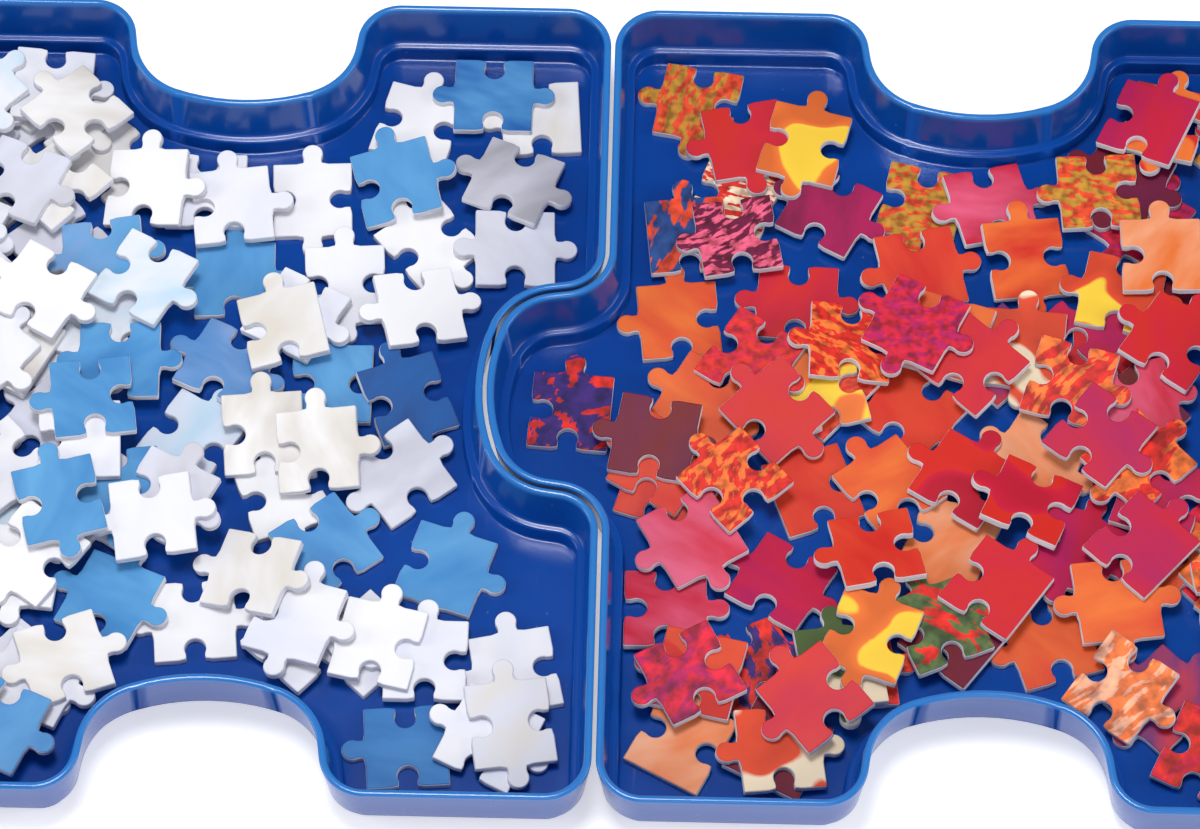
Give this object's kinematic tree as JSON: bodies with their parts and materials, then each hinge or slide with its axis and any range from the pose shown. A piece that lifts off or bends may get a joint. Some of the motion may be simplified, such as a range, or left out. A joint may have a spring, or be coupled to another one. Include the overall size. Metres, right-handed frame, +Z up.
{
  "type": "jigsaw puzzle sorting tray",
  "caption": "Shallow interlocking sorting trays for a jigsaw puzzle, open on top, with tab and socket sides, a stepped wall, a recessed foot and loose puzzle pieces.",
  "frame": {"origin": "under the middle of the linked trays, on the surface they stand on", "axes": "+X along the linked trays from left to right, +Y to the back, +Z up out of the open tops"},
  "size_m": [0.409, 0.2252, 0.02],
  "materials": {
    "tray": "glossy deep blue",
    "white": "satin printed card",
    "pale_grey": "satin printed card",
    "sky_blue": "satin printed card",
    "speckled": "satin printed card",
    "orange": "satin printed card",
    "magenta": "satin printed card",
    "red": "satin printed card"
  },
  "bodies": {
    "right_tray": {"right_tray": "tray"},
    "left_tray": {"left_tray": "tray"},
    "left_lower_pieces": {"white_piece_1": "white", "white_piece_2": "white", "white_piece_3": "white", "white_piece_4": "white", "white_piece_5": "white", "white_piece_6": "white", "white_piece_7": "white", "white_piece_8": "white", "white_piece_9": "white", "pale_grey_piece_1": "pale_grey", "pale_grey_piece_2": "pale_grey"},
    "left_upper_pieces": {"sky_blue_piece_1": "sky_blue", "sky_blue_piece_2": "sky_blue", "sky_blue_piece_3": "sky_blue", "sky_blue_piece_4": "sky_blue", "sky_blue_piece_5": "sky_blue", "sky_blue_piece_6": "sky_blue", "sky_blue_piece_7": "sky_blue", "sky_blue_piece_8": "sky_blue", "sky_blue_piece_9": "sky_blue", "sky_blue_piece_10": "sky_blue"},
    "right_lower_pieces": {"speckled_piece_1": "speckled", "speckled_piece_2": "speckled", "speckled_piece_3": "speckled", "speckled_piece_4": "speckled", "speckled_piece_5": "speckled", "orange_piece_1": "orange", "orange_piece_2": "orange", "orange_piece_3": "orange", "orange_piece_4": "orange", "orange_piece_5": "orange", "orange_piece_6": "orange", "magenta_piece_1": "magenta", "magenta_piece_2": "magenta", "magenta_piece_3": "magenta"},
    "right_upper_pieces": {"red_piece_1": "red", "red_piece_2": "red", "red_piece_3": "red", "red_piece_4": "red", "red_piece_5": "red", "red_piece_6": "red", "red_piece_7": "red", "red_piece_8": "red"}
  },
  "joints": [
    {"name": "tray_slide", "type": "slide", "parent": "right_tray", "child": "left_tray", "axis": [-1, 0, 0], "range_m": [0, 0.06]},
    {"name": "left_lower_lift", "type": "slide", "parent": "left_tray", "child": "left_lower_pieces", "axis": [0, 0, 1], "range_m": [0, 0.05]},
    {"name": "left_upper_lift", "type": "slide", "parent": "left_lower_pieces", "child": "left_upper_pieces", "axis": [0, 0, 1], "range_m": [0, 0.05]},
    {"name": "right_lower_lift", "type": "slide", "parent": "right_tray", "child": "right_lower_pieces", "axis": [0, 0, 1], "range_m": [0, 0.05]},
    {"name": "right_upper_lift", "type": "slide", "parent": "right_lower_pieces", "child": "right_upper_pieces", "axis": [0, 0, 1], "range_m": [0, 0.05]}
  ]
}
